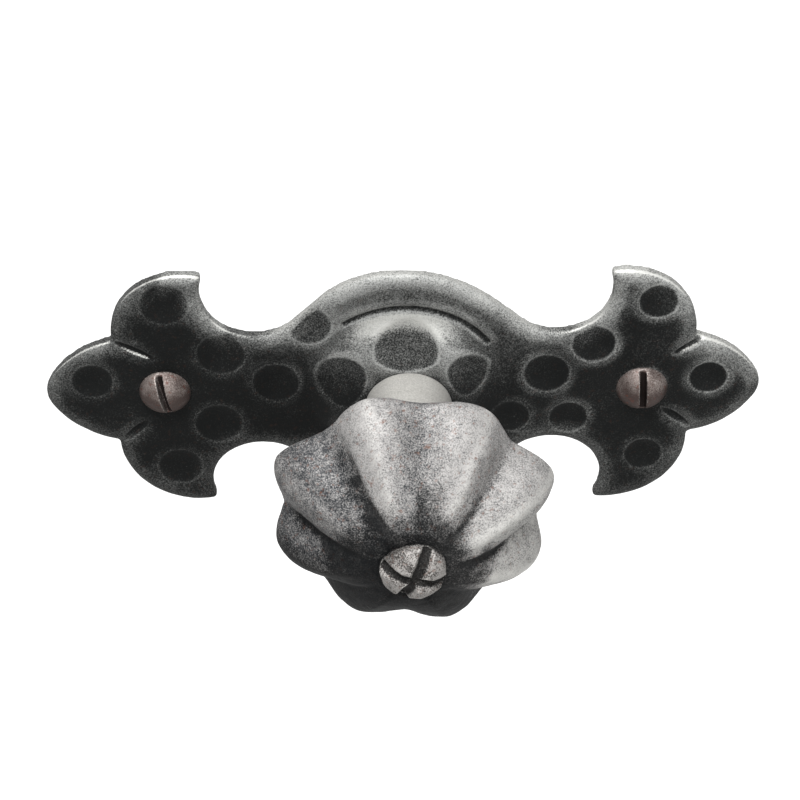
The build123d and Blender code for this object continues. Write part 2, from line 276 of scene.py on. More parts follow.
    def relief(self, tree: bpy.types.NodeTree, place: bpy.types.NodeSocket,
               salt: bpy.types.NodeSocket) -> bpy.types.NodeSocket:
        """Roughens the surface with its grain and with short slanting marks from emery cloth.

        Args:
            tree: The material's node tree.
            place: Where on the piece the spot is.
            salt: The fine grain.

        Returns:
            Socket with the surface's direction.
        """
        stretch = add_node(tree, "ShaderNodeMapping", {}, {
            "Vector": place, "Rotation": (0.0, 0.6, 0.0), "Scale": (1.0, 1.0, 9.0),
        }).outputs["Vector"]
        scratches = add_node(tree, "ShaderNodeTexNoise", {}, {
            "Vector": stretch, "Scale": per_metre(self.emery_mm), "Detail": 3.0, "Roughness": 0.6,
        }).outputs["Fac"]
        grain_relief = add_node(tree, "ShaderNodeBump", {}, {
            "Height": salt, "Strength": 0.5, "Distance": self.grain_height_mm * MM,
        }).outputs["Normal"]
        return add_node(tree, "ShaderNodeBump", {}, {
            "Height": scratches, "Strength": 0.4, "Distance": self.grain_height_mm * MM,
            "Normal": grain_relief,
        }).outputs["Normal"]

    def build(self) -> bpy.types.Material:
        """Makes the material from the masks that a worked surface carries.

        Returns:
            The finished material.
        """
        material, tree = new_material(self.name)
        place = add_node(tree, "ShaderNodeTexCoord").outputs["Object"]
        # Salt-and-pepper grain of scale and bare metal; the real one is finer, about 0.1 mm
        salt = add_node(tree, "ShaderNodeTexNoise", {}, {
            "Vector": place, "Scale": per_metre(self.salt_mm), "Detail": 1.0, "Roughness": 0.5,
        }).outputs["Fac"]
        unrest = self.unrest(tree, place, salt)
        pale_mask, wear_and_highlight_mask, hollow_and_shade_mask = self.masks(tree, unrest)
        roughness = add_node(tree, "ShaderNodeMapRange", {}, {
            "Value": wear_and_highlight_mask, "To Min": self.face_roughness, "To Max": self.rubbed_roughness,
        }).outputs["Result"]
        # Scale is no metal, so hollows reflect next to nothing, and so does the painted shade that
        # shares their mask
        bare_metal = add_node(tree, "ShaderNodeMapRange", {}, {
            "Value": hollow_and_shade_mask, "To Min": self.metallic, "To Max": 0.0,
        }).outputs["Result"]
        shader = add_node(tree, "ShaderNodeBsdfPrincipled", {}, {
            "Base Color": self.colour(tree, place, pale_mask, wear_and_highlight_mask, hollow_and_shade_mask),
            "Metallic": bare_metal, "Roughness": roughness, "Specular IOR Level": self.sheen,
            "Normal": self.relief(tree, place, salt),
        }).outputs["BSDF"]
        add_node(tree, "ShaderNodeOutputMaterial", {}, {"Surface": shader})
        return material


@dataclass(frozen=True)
class TurnedSteel:
    """Bare mild steel turned on a lathe, left unblackened: warm light grey with fine rings."""

    name: str = "turned_mild_steel"
    steel_colour: str = "#cbc9c4"
    dull_colour: str = "#a8a6a1"
    ring_mm: float = 0.35
    grain_mm: float = 0.2
    frost_height_mm: float = 0.03
    # A thin film of oxide lies on it, so it is no clean metal
    metallic: float = 0.4
    roughness: float = 0.5

    def build(self) -> bpy.types.Material:
        """Makes the material, with rings that run round the lathe's axis, which is Y.

        Returns:
            The finished material.
        """
        material, tree = new_material(self.name)
        place = add_node(tree, "ShaderNodeTexCoord").outputs["Object"]
        # Rings at the lathe's feed; the real ones are about 0.1 mm apart, too fine to show
        along_axis = add_node(tree, "ShaderNodeMapping", {}, {
            "Vector": place, "Scale": (0.02, 1.0, 0.02),
        }).outputs["Vector"]
        rings = add_node(tree, "ShaderNodeTexNoise", {}, {
            "Vector": along_axis, "Scale": per_metre(self.ring_mm), "Detail": 3.0,
            "Roughness": 0.7,
        }).outputs["Fac"]
        # The fine frosting that the turned face has under its rings
        frost = add_node(tree, "ShaderNodeTexNoise", {}, {
            "Vector": place, "Scale": per_metre(self.grain_mm), "Detail": 3.0, "Roughness": 0.6,
        }).outputs["Fac"]
        tone = add_node(tree, "ShaderNodeMath", {"operation": "MULTIPLY_ADD"}, {
            0: rings, 1: 0.2, 2: frost,
        }).outputs[0]
        dull_mask = add_node(tree, "ShaderNodeMapRange", {}, {
            "Value": tone, "From Min": 0.4, "From Max": 0.8,
        }).outputs["Result"]
        colour = add_node(tree, "ShaderNodeMix", {"data_type": "RGBA"}, {
            SHARE: dull_mask, FIRST: linear(self.dull_colour), SECOND: linear(self.steel_colour),
        }).outputs[MIXED]
        relief = add_node(tree, "ShaderNodeBump", {}, {
            "Height": frost, "Strength": 0.4, "Distance": self.frost_height_mm * MM,
        }).outputs["Normal"]
        shader = add_node(tree, "ShaderNodeBsdfPrincipled", {}, {
            "Base Color": colour, "Metallic": self.metallic, "Roughness": self.roughness,
            "Normal": relief,
        }).outputs["BSDF"]
        add_node(tree, "ShaderNodeOutputMaterial", {}, {"Surface": shader})
        return material


@dataclass(frozen=True)
class PlainBoard:
    """Matt painted board for the floor, white to the camera, and dim enough not to fill shadows."""

    name: str = "painted_board_matt"
    colour: str = "#a8a8a6"

    def build(self) -> bpy.types.Material:
        """Makes the floor's material.

        Returns:
            The finished material.
        """
        material, tree = new_material(self.name)
        glow = add_node(tree, "ShaderNodeEmission", {}, {"Strength": straight_rays(tree)})
        paint = add_node(tree, "ShaderNodeBsdfDiffuse", {}, {"Color": linear(self.colour)})
        both = add_node(tree, "ShaderNodeAddShader", {}, {0: paint.outputs[0], 1: glow.outputs[0]})
        add_node(tree, "ShaderNodeOutputMaterial", {}, {"Surface": both.outputs[0]})
        return material


class WorkedSurface:
    """An even, dense copy of one CAD node that can be hammered, worn and masked point by point."""

    def __init__(self, node: str, piece: str, spacing: float) -> None:
        """Copies the node and meshes it again with even spacing.

        Args:
            node: Name of the CAD node it stands for.
            piece: Name of the new piece.
            spacing: Distance between the new mesh's points, in metres.
        """
        self.node = node
        self.spacing = spacing
        rough = bpy.data.objects.new(piece + "_rough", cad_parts[node].data.copy())
        bpy.context.scene.collection.objects.link(rough)
        welded = bmesh.new()
        welded.from_mesh(rough.data)
        bmesh.ops.remove_doubles(welded, verts=welded.verts, dist=0.001 * MM)
        welded.to_mesh(rough.data)
        welded.free()
        even = rough.modifiers.new("even_mesh", "REMESH")
        even.mode = "VOXEL"
        even.voxel_size = spacing
        even.adaptivity = 0.0
        scene_graph = bpy.context.evaluated_depsgraph_get()
        mesh = bpy.data.meshes.new_from_object(rough.evaluated_get(scene_graph))
        bpy.data.objects.remove(rough)
        mesh.materials.clear()
        self.object = bpy.data.objects.new(piece, mesh)
        bpy.context.scene.collection.objects.link(self.object)
        self.points = np.zeros(len(mesh.vertices) * 3)
        mesh.vertices.foreach_get("co", self.points)
        self.points = self.points.reshape(-1, 3)
        ends = np.zeros(len(mesh.edges) * 2, dtype=np.int64)
        mesh.edges.foreach_get("vertices", ends)
        self.starts = np.concatenate([ends[0::2], ends[1::2]])
        self.neighbours = np.concatenate([ends[1::2], ends[0::2]])
        self.counts = np.bincount(self.starts, minlength=len(self.points)).clip(1)

    def passes(self, reach_mm: float) -> int:
        """How many rounds of averaging with the neighbours reach this far."""
        return max(1, round(2 * (reach_mm * MM / self.spacing) ** 2))

    def averaged(self, values: np.ndarray, rounds: int) -> np.ndarray:
        """Averages a value at each point with its neighbours', again and again.

        Args:
            values: One value, or one row of values, for each point.
            rounds: How many times each point moves half way to its neighbours' mean.

        Returns:
            The averaged values, in the same shape.
        """
        columns = values.reshape(len(self.points), -1).astype(float).copy()
        for _ in range(rounds):
            for column in range(columns.shape[1]):
                around = columns[self.neighbours, column]
                total = np.bincount(self.starts, weights=around, minlength=len(self.points))
                columns[:, column] = (columns[:, column] + total / self.counts) / 2
        return columns.reshape(values.shape)

    def normals(self) -> np.ndarray:
        """Outward direction at each point of the mesh as it stands."""
        mesh = self.object.data
        mesh.vertices.foreach_set("co", self.points.ravel())
        mesh.update()
        directions = np.zeros(len(self.points) * 3)
        mesh.vertex_normals.foreach_get("vector", directions)
        return directions.reshape(-1, 3)

    def smooth(self, rounds: int) -> None:
        """Softens the remeshed steps and the sharp edges, as filing and rubbing do."""
        self.points = self.averaged(self.points, rounds)

    def convexity(self, reach_mm: float) -> np.ndarray:
        """How far each point stands proud of its surroundings.

        Args:
            reach_mm: Size of the surroundings in millimetres.

        Returns:
            Height in millimetres, above 0 on edges and ridges and below 0 in creases.
        """
        mean = self.averaged(self.points, self.passes(reach_mm))
        return np.einsum("ij,ij->i", self.points - mean, self.normals()) / MM

    def clouds(self, size_mm: float, octaves: int, offset: float) -> np.ndarray:
        """Random heights, the same at each run.

        Args:
            size_mm: Width of one swell in millimetres.
            octaves: How many finer sizes lie on top.
            offset: Moves the pattern, so that two pieces differ.

        Returns:
            A value from about -1 to 1 for each point.
        """
        spots = self.points * per_metre(size_mm) + offset
        return np.array([noise.fractal(Vector(spot), 1.0, 2.0, octaves) for spot in spots])

    def push(self, heights_mm: np.ndarray) -> None:
        """Moves each point along its outward direction by its height in millimetres."""
        self.points = self.points + self.normals() * heights_mm[:, None] * MM

    def mask(self, name: str, values: np.ndarray) -> None:
        """Stores one value from 0 to 1 at each point, for a material to read."""
        layer = self.object.data.attributes.new(name, "FLOAT", "POINT")
        layer.data.foreach_set("value", values.clip(0, 1).astype(np.float32))

    def finish(self, material: bpy.types.Material, slot: str) -> bpy.types.Object:
        """Writes the points back and puts the piece in the CAD node's place.

        Args:
            material: The piece's finish.
            slot: Not used.

        Returns:
            The finished piece.
        """
        mesh = self.object.data
        mesh.vertices.foreach_set("co", self.points.ravel())
        mesh.materials.append(material)
        mesh.polygons.foreach_set("use_smooth", [True] * len(mesh.polygons))
        mesh.update()
        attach(self.object, "root")
        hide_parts(self.node)
        log.info("%s: %d faces", self.object.name, len(mesh.polygons))
        return self.object


def ramp(values: np.ndarray, start: float, end: float) -> np.ndarray:
    """Runs smoothly from 0 at start to 1 at end.

    Args:
        values: Values to compare with start and end.
        start: Value that gives 0.
        end: Value that gives 1.

    Returns:
        The share of the way, eased at both ends.
    """
    share = ((values - start) / (end - start)).clip(0, 1)
    return share * share * (3 - 2 * share)


def below_dome_mm(points: np.ndarray, box: tuple[Vector, Vector], ball_mm: float) -> np.ndarray:
    """How far points lie below the dome at the front of a piece that stands along Y.

    Args:
        points: The points, in metres.
        box: The piece's box.
        ball_mm: Radius of the ball that the dome is part of.

    Returns:
        Depth below the dome in millimetres, and 0 behind the ball's centre.
    """
    low, high = box
    centre = np.array([(low.x + high.x) / 2, low.y + ball_mm * MM, (low.z + high.z) / 2])
    inside = ball_mm - np.linalg.norm(points - centre, axis=1) / MM
    return np.where(points[:, 1] < centre[1], inside, 0.0)


@dataclass
class Backplate:
    """Hammered plate: a petal tip and two hooked petals at each end, an arch above and below."""

    spacing: float = 0.26 * MM
    # Sizes of the solid: its thickness, raised middle, ring groove and reach of its screw holes
    thickness_mm: float = 2.0
    crown_height_mm: float = 2.2
    crown_top_mm: float = 7.0
    crown_foot_mm: float = 13.0
    ring_mm: float = 13.6
    hole_reach_mm: float = 3.0
    # The hammered-down edge: how wide it is, how far it falls, and where the side face begins
    edge_mm: float = 1.8
    edge_drop_mm: float = 0.5
    edge_from_mm: float = 0.8
    # Where the hooks' inner flanks are, across from the middle
    hook_from_mm: float = 24.0
    hook_to_mm: float = 31.0
    # Hammered mild steel: nearly all scale, with grey dust of metal on what stands proud
    finish: ForgedSteel = ForgedSteel(
        name="blackened_hammered_steel",
        scale_and_shade_colour="#161717",
        face_colour="#181919",
        pale_colour="#949593",
        rubbed_and_highlight_colour="#c4c4c0",
        salt_share=0.9,
        quiet_grain=0.22,
        pale_grain=0.8,
        rust_share=0.08,
        sheen=0.05,
    )

    def front_depth_mm(self, distance_mm: np.ndarray) -> np.ndarray:
        """Depth of the undented front face at a distance from the plate's middle."""
        lift = 1 - ramp(distance_mm, self.crown_top_mm, self.crown_foot_mm)
        return self.thickness_mm + self.crown_height_mm * lift

    def edge_distance_mm(self, plate: WorkedSurface) -> np.ndarray:
        """How far each point lies inside the plate's outline.

        Args:
            plate: The plate as it is meshed.

        Returns:
            Distance in the plane of the plate, in millimetres.
        """
        # Points on the side faces, without those of the middle and of the screw holes
        on_side = np.abs(plate.normals()[:, 1]) < 0.4
        in_middle = np.hypot(plate.points[:, 0], plate.points[:, 2]) < self.ring_mm * MM
        outline = plate.points[on_side & ~in_middle] * (1, 0, 1)
        for side in Side:
            low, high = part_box(f"screw_{side.value}")
            hole = np.hypot(outline[:, 0] - (low.x + high.x) / 2, outline[:, 2] - (low.z + high.z) / 2)
            outline = outline[hole > self.hole_reach_mm * MM]
        tree = kdtree.KDTree(len(outline))
        for index, spot in enumerate(outline):
            tree.insert(spot, index)
        tree.balance()
        return np.array([tree.find(spot)[2] for spot in plate.points * (1, 0, 1)]) / MM

    def rub(self, plate: WorkedSurface, across: np.ndarray, up: np.ndarray, sunk: np.ndarray,
            inside: np.ndarray) -> None:
        """Masks where the plate kept its black, where it was rubbed grey or bare, and where light is
        painted on faces and lips that look up.

        Args:
            plate: The plate, softened a little.
            across: Each point's X in millimetres.
            up: Each point's Z in millimetres.
            sunk: How far each point lies behind the undented front, in millimetres.
            inside: How far each point lies inside the outline, in millimetres.
        """
        normals = plate.normals()
        on_front = ramp(-normals[:, 1], 0.1, 0.5)
        # Painted light: faces that look up are made paler on the rim and on the side faces, as if lit
        # from above
        lit_from_above = ramp(plate.averaged(normals[:, 2], plate.passes(0.9)), -0.1, 0.5)
        wide = np.abs(across)
        off_ring = np.hypot(across, up) - self.ring_mm

        # The upper hooks' inner flanks, the right one rubbed less
        hook = ramp(wide, self.hook_from_mm - 2, self.hook_from_mm) * (
            1 - ramp(wide, self.hook_to_mm, self.hook_to_mm + 1)) * ramp(up, 4.0, 8.0)
        hook *= 1 - 0.25 * (across > 0)
        # The upper arch, with the swell inside its ring groove
        arch = ramp(up, -1.0, 7.0) * (1 - ramp(wide, 15.0, 21.0))
        outer_arch = ramp(off_ring, -0.6, 0.6)
        # The swell under the ring groove is rubbed, and also painted brighter as a highlight on its
        # upward slope
        under_ring = arch * ramp(off_ring, -4.5, -2.0) * (1 - ramp(off_ring, -1.0, -0.5))
        under_ring *= 1 - ramp(wide, 4.0, 9.0)
        in_ring = 1 - ramp(np.abs(off_ring), 0.3, 0.6)
        # The right end is made paler than the left, most of all its upper half
        right = ramp(across, 0.0, 40.0)
        high_right = right * ramp(up, -16.0, 10.0)

        # Dents, the rubbed rings round them, and a painted highlight on the lips of strokes that look
        # up
        well_inside = inside > 0.7
        dented = ramp(sunk, 0.08, 0.35) * on_front * well_inside
        dent_ring = ramp(sunk, 0.01, 0.06) * (1 - ramp(sunk, 0.1, 0.22)) * on_front * well_inside
        lit_lip = ramp(normals[:, 2], 0.45, 0.6) * ramp(sunk, 0.05, 0.2) * on_front
        lit_lip *= ramp(wide, 18.0, 24.0) * ramp(up, -2.0, 2.0)
        # Side faces that look up get a painted highlight, strongest on the arch and at the right end
        lit_upper_side = (1 - on_front) * lit_from_above * (0.1 + 0.9 * np.maximum(arch, right))
        raised_rims = ramp(plate.convexity(1.5), 0.01, 0.07) * on_front * (1 - dented)
        raised_rims *= 0.7 + 0.6 * plate.clouds(4.0, 1, 6.1)
        rim = 1 - ramp(inside, 0.0, self.edge_mm)
        by_rim = 1 - ramp(inside, 0.4, 4.0)

        plate.mask("hollow_and_shade", plate.averaged(dented * (0.5 + 0.3 * in_ring), 1))
        plate.mask("wear_and_highlight", rim * (0.02 + 0.12 * lit_from_above * high_right + 0.27 * hook + 0.17 * arch)
                   + raised_rims * (0.05 + 0.15 * high_right + 0.15 * arch)
                   + 0.7 * under_ring + 0.65 * lit_lip + 0.4 * lit_upper_side)
        # The arch is grey on its front and its upper side, and fades towards both its ends
        grey_arch = arch * (1 - ramp(normals[:, 1], -0.2, 0.4)) * (
            1 - 0.5 * ramp(across, 4.0, 16.0)) * (1 - 0.6 * ramp(-across, 9.5, 14.0))
        grey_swell = under_ring * (1 - 0.5 * ramp(-across, 2.0, 6.0))
        # Near the outline, faces that look up are painted paler, as painted light
        plate.mask("pale", 0.02 + grey_arch * (0.36 - 0.05 * outer_arch)
                   + by_rim * (0.14 + 0.16 * lit_from_above + 0.24 * hook + 0.06 * high_right)
                   + raised_rims * (0.12 + 0.25 * high_right + 0.2 * grey_arch)
                   + dent_ring * (0.1 + 0.25 * high_right + 0.2 * grey_arch)
                   + 0.04 * high_right + 0.5 * grey_swell)

    def hammer(self, plate: WorkedSurface, inside: np.ndarray) -> None:
        """Drives the front's edge back, squeezes the side face with it, and unevens all faces.

        Args:
            plate: The plate.
            inside: How far each point lies inside the outline, in millimetres.
        """
        slope = (1 - (inside / self.edge_mm).clip(0, 1)) ** 2
        side_mm = self.thickness_mm - self.edge_from_mm
        depth = (-plate.points[:, 1] / MM - self.edge_from_mm).clip(0, side_mm)
        plate.points[:, 1] += slope * depth / side_mm * self.edge_drop_mm * MM
        plate.smooth(2)
        plate.push(plate.clouds(9.0, 2, 3.1) * 0.10 - 0.05)
        plate.push(plate.clouds(2.2, 3, 8.7) * 0.035 - 0.02)

    def build(self) -> bpy.types.Object:
        """Forges the plate: masks for rubbing and painted light, hammered-down edges and uneven faces.

        Returns:
            The finished piece.
        """
        plate = WorkedSurface("backplate", "hammered_backplate", self.spacing)
        across, up = plate.points[:, 0] / MM, plate.points[:, 2] / MM
        sunk = self.front_depth_mm(np.hypot(across, up)) + plate.points[:, 1] / MM
        inside = self.edge_distance_mm(plate)
        plate.smooth(1)
        self.rub(plate, across, up, sunk, inside)
        self.hammer(plate, inside)
        return plate.finish(self.finish.build(), "blackened_plate")


@dataclass
class Neck:
    """Turned spacer that holds the knob away from the plate."""

    spacing: float = 0.22 * MM
    finish: TurnedSteel = TurnedSteel()

    def build(self) -> bpy.types.Object:
        """Turns the neck, with slightly softened rims.

        Returns:
            The finished piece.
        """
        neck = WorkedSurface("neck", "turned_neck", self.spacing)
        neck.smooth(2)
        return neck.finish(self.finish.build(), "bare_neck")


@dataclass(frozen=True)
class Flutes:
    """Where each point of the knob lies among its ridges and valleys, round the knob's axis."""

    up: np.ndarray
    distance: np.ndarray
    angle: np.ndarray
    off_ridge: np.ndarray
    off_valley: np.ndarray
    valley: np.ndarray

    def by_ridge(self, width_mm: float) -> np.ndarray:
        """Falls from 1 on a ridge to 0 about two widths beside it."""
        return np.exp(-(np.radians(self.off_ridge) * self.distance / width_mm) ** 2)

    def by_valley(self, width_mm: float | np.ndarray) -> np.ndarray:
        """Falls from 1 along a valley's middle to 0 about two widths beside it."""
        return np.exp(-(np.radians(self.off_valley) * self.distance / width_mm) ** 2)


@dataclass
class Knob:
    """Fluted knob with eight ridges that fade out under the rivet's head."""

    spacing: float = 0.25 * MM
    # Its axis lies a little off the plate's middle
    axis_x_mm: float = 0.6
    axis_z_mm: float = -0.7
    flute_count: int = 8
    first_ridge_deg: float = 18.0
    ridge_mm: float = 1.1
    ridge_height_mm: float = 0.3
    crease_mm: float = 0.55
    crease_depth_mm: float = 0.35
    # How clearly each crease shows, anticlockwise from the one at the upper right
    creases: tuple[float, ...] = (0.55, 0.35, 0.8, 0.8, 0.6, 0.1, 0.6, 0.6)
    # How far each ridge and each crease lies off its even place, in degrees
    ridge_drift: tuple[float, ...] = (0.0, -5.0, 0.0, 0.0, 0.0, 0.0, 0.0, 0.0)
    crease_drift: tuple[float, ...] = (0.0, 0.0, -6.5, 0.0, 0.0, 0.0, 0.0, 0.0)
    # The notch between the two lowest lobes is shallower than the other valleys
    notch_valley: int = 5
    notch_mm: float = 2.5
    notch_fill_mm: float = 0.5
    # The valley on top is painted darker than the two ridges beside it, as shade
    top_valley: int = 1
    top_valley_shade_mm: float = 3.0
    # Valleys between which the knob is black
    black_from_deg: float = 124.0
    black_to_deg: float = 310.5
    # How far the black round the rivet reaches, and between which depths it fades in
    nose_mm: float = 8.5
    nose_from_mm: float = 22.0
    nose_to_mm: float = 27.0
    # Forged and wire-brushed steel: coarse black grain on grey, and bare metal with a painted highlight
    # along its ridges
    finish: ForgedSteel = ForgedSteel(
        name="rubbed_forged_steel",
        scale_and_shade_colour="#141516",
        face_colour="#35373a",
        pale_colour="#a8a6a4",
        rubbed_and_highlight_colour="#cfceca",
        mottle_mm=1.3,
        mottle_share=0.6,
        salt_share=0.7,
        quiet_grain=0.95,
        pale_grain=-0.1,
        rust_share=0.6,
    )

    def nearest(self, angle: np.ndarray, start_deg: float,
                drift: tuple[float, ...]) -> tuple[np.ndarray, np.ndarray]:
        """Finds each point's own ridge or valley.

        Args:
            angle: Each point's angle round the axis, in degrees.
            start_deg: Where the first one's share of the circle starts.
            drift: How far each one lies off the middle of its share, in degrees.

        Returns:
            Its number, and how many degrees the point lies anticlockwise of it.
        """
        pitch = 360 / self.flute_count
        number = ((angle - start_deg) // pitch).astype(int) % self.flute_count
        off = (angle - start_deg) % pitch - pitch / 2
        return number, off - np.array(drift)[number]

    def find_flutes(self, knob: WorkedSurface) -> Flutes:
        """Measures each point's place round the knob's axis.

        Args:
            knob: The knob.

        Returns:
            The places, in millimetres and degrees.
        """
        across = knob.points[:, 0] / MM - self.axis_x_mm
        up = knob.points[:, 2] / MM - self.axis_z_mm
        angle = np.degrees(np.arctan2(up, across))
        half_pitch = 180 / self.flute_count
        _, off_ridge = self.nearest(angle, self.first_ridge_deg - half_pitch, self.ridge_drift)
        valley, off_valley = self.nearest(angle, self.first_ridge_deg, self.crease_drift)
        return Flutes(up, np.hypot(across, up), angle, off_ridge, off_valley, valley)

    def crease_strength(self, flutes: Flutes) -> np.ndarray:
        """How clearly the creases show: on the open flutes only, and each in its own measure."""
        on_flutes = ramp(flutes.distance, 5.0, 8.0) * (1 - ramp(flutes.distance, 14.0, 17.5))
        return on_flutes * np.array(self.creases)[flutes.valley]

    def rub(self, knob: WorkedSurface, flutes: Flutes) -> None:
        """Masks the black nose and creases, the black left side, what was rubbed bare, and painted
        light and shade.

        Args:
            knob: The knob, softened a little.
            flutes: Each point's place on it.
        """
        ragged = knob.clouds(5.0, 4, 2.7)
        turned = flutes.angle % 360
        black_side = ramp(turned, self.black_from_deg - 2, self.black_from_deg + 4)
        black_side *= 1 - ramp(turned + 8 * ragged, self.black_to_deg - 15, self.black_to_deg + 15)
        # Painted shade at the bottom: black on the black side, and without bright edges
        lowest = ramp(-flutes.up, -2.0, 8.5)
        # Painted light on the lower part outside the black side, in the rubbed colour
        below = ramp(-flutes.up, -13.0, 0.0) * (1 - black_side)
        low_right = ramp(turned, 300.0, 330.0) * (1 - 0.3 * ramp(turned, 335.0, 350.0))

        # On the black side, a crease's shade is broader on its anticlockwise flank
        shade = flutes.by_valley(np.where(flutes.off_valley > 0, 0.7 + 0.9 * black_side, 0.7))
        nose_reach = self.nose_mm + 3.5 * black_side + 2.6 * low_right + 1.2 * shade + 4.2 * ragged
        in_front = ramp(-knob.points[:, 1] / MM, self.nose_from_mm, self.nose_to_mm)
        round_nose = (1 - ramp(flutes.distance / nose_reach, 0.47, 1.25)) * in_front
        # Only clear creases have a broad painted shade on one side, and faint ones are thin dark lines
        clear = self.crease_strength(flutes)
        creased = shade * clear ** 2 * (0.4 + 0.35 * black_side) * (1 + 0.6 * ragged)
        knob.mask("hollow_and_shade", round_nose * 0.85 + creased
                  + 0.45 * flutes.by_valley(self.crease_mm) * clear + 1.2 * lowest * black_side)

        # Painted light: the flank anticlockwise of each ridge is paler, as if lit from the upper left
        lit_left_flank = ramp(flutes.off_ridge, 0.0, 4.0) * (1 - shade)
        # Paler along the ridges: partly rubbed metal, partly a painted highlight
        rubbed_and_lit_ridge = flutes.by_ridge(self.ridge_mm) * ramp(flutes.distance, 6.0, 10.0)
        knob.mask("wear_and_highlight", 0.5 * ramp(knob.convexity(0.6), 0.02, 0.16) * (1 - 0.9 * lowest)
                  + 0.3 * rubbed_and_lit_ridge * (1 - 0.7 * black_side)
                  + 0.45 * below * (1 - round_nose) ** 2)
        # Painted shade along the valley on top
        top_valley_shade = flutes.by_valley(self.top_valley_shade_mm) * (flutes.valley == self.top_valley)
        knob.mask("pale", 0.61 - 0.32 * black_side + 0.1 * lit_left_flank + 0.2 * rubbed_and_lit_ridge
                  - 0.2 * top_valley_shade - 0.08 * below)

    def forge(self, knob: WorkedSurface, flutes: Flutes) -> None:
        """Raises the ridges, cuts the creases, fills the lowest notch and unevens the faces.

        Args:
            knob: The knob.
            flutes: Each point's place on it.
        """
        on_dome = 1 - 0.8 * ramp(flutes.distance, 13.0, 17.0)
        ridges = flutes.by_ridge(self.ridge_mm) * ramp(flutes.distance, 5.0, 9.0)
        relief = self.ridge_height_mm * (ridges - 1) * on_dome
        relief += self.notch_fill_mm * flutes.by_valley(self.notch_mm) * (
            flutes.valley == self.notch_valley)
        relief -= self.crease_depth_mm * flutes.by_valley(self.crease_mm) * (
            self.crease_strength(flutes))
        knob.push(knob.clouds(7.0, 2, 5.3) * 0.14 - 0.07 + relief)
        knob.push(knob.clouds(1.8, 3, 1.9) * 0.045 - 0.03)

    def build(self) -> bpy.types.Object:
        """Forges the knob: creases between its lobes, pale on the right and black on the left.

        Returns:
            The finished piece.
        """
        knob = WorkedSurface("knob", "fluted_knob", self.spacing)
        knob.smooth(2)
        flutes = self.find_flutes(knob)
        self.rub(knob, flutes)
        self.forge(knob, flutes)
        return knob.finish(self.finish.build(), "rubbed_knob")


@dataclass
class Rivet:
    """Rivet with a chiselled cross in its head that holds the knob and the neck on the plate."""

    spacing: float = 0.14 * MM
    head_ball_mm: float = 5.25
    # Peened steel: grey pads with coarse black pits, bright along the cuts' edges
    finish: ForgedSteel = ForgedSteel(
        name="chiselled_blackened_steel",
        scale_and_shade_colour="#161616",
        face_colour="#454240",
        pale_colour="#9a9794",
        rubbed_and_highlight_colour="#d6d4cf",
        mottle_mm=1.6,
        mottle_share=0.8,
        quiet_grain=0.4,
        rust_share=0.6,
    )

    def build(self) -> bpy.types.Object:
        """Peens the rivet: worn pads between dark chisel cuts, the lower pads painted paler against
        their shade.

        Returns:
            The finished piece.
        """
        rivet = WorkedSurface("rivet", "chiselled_rivet", self.spacing)
        sunk = below_dome_mm(rivet.points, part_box("rivet"), self.head_ball_mm)
        rivet.smooth(2)
        edge = rivet.convexity(0.4)
        # Painted light: faces and edges that look down are made paler and those that look up darker,
        # evening out the light from above
        top = ramp(rivet.normals()[:, 2], -0.1, 0.8)
        rivet.mask("hollow_and_shade", ramp(sunk, 0.15, 0.6))
        rivet.mask("wear_and_highlight", (0.75 - 0.3 * top) * ramp(edge, 0.02, 0.12))
        rivet.mask("pale", 0.98 - 0.48 * top + 0.5 * rivet.clouds(1.6, 3, 9.2))
        rivet.smooth(3)
        rivet.push(rivet.clouds(2.2, 3, 4.4) * 0.24 - 0.12)
        return rivet.finish(self.finish.build(), "blackened_rivet")


